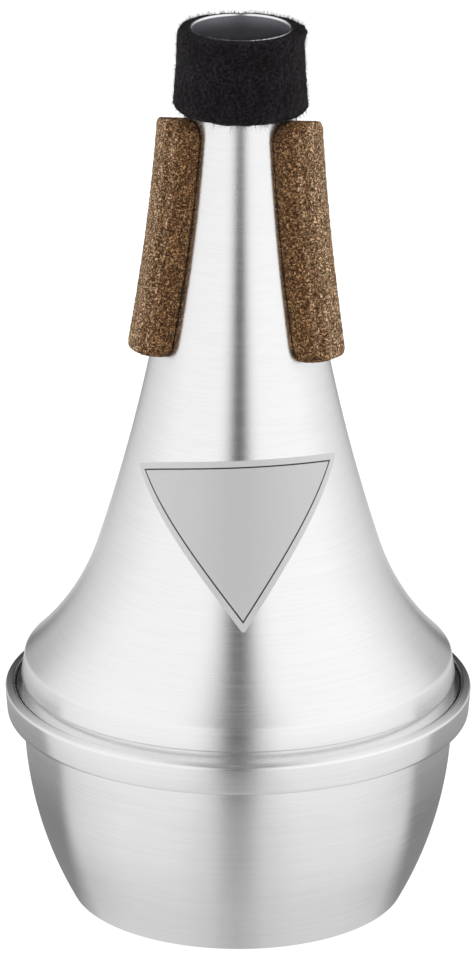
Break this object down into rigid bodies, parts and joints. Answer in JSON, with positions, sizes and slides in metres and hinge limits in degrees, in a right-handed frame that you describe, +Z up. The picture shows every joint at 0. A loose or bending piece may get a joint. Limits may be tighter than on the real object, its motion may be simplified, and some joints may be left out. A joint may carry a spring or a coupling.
{
  "type": "trumpet straight mute",
  "caption": "Straight mute for a trumpet: flared spun metal cone on a bowed base cup, cork strips and a felt ring at the open neck.",
  "frame": {"origin": "centre of the flat base, on the surface the mute stands on", "axes": "+Z up along the mute's axis towards the open neck, -Y towards the foil plate"},
  "size_m": [0.08, 0.08, 0.1541],
  "materials": {
    "spun_aluminium": "fine spun lines, bright satin",
    "cork": "pressed cork granules, matte",
    "black_felt": "matte black felt with loose fibres",
    "foil": "satin foil with a plain dark border line",
    "dark_adhesive": "cured dark sealing adhesive"
  },
  "bodies": {
    "root": {"cone_shell": "spun_aluminium", "base_cup": "spun_aluminium", "joint_adhesive": "dark_adhesive", "felt_ring": "black_felt", "cork_strip_left": "cork", "cork_strip_right": "cork", "cork_strip_back": "cork", "label_plate": "foil"}
  },
  "joints": []
}
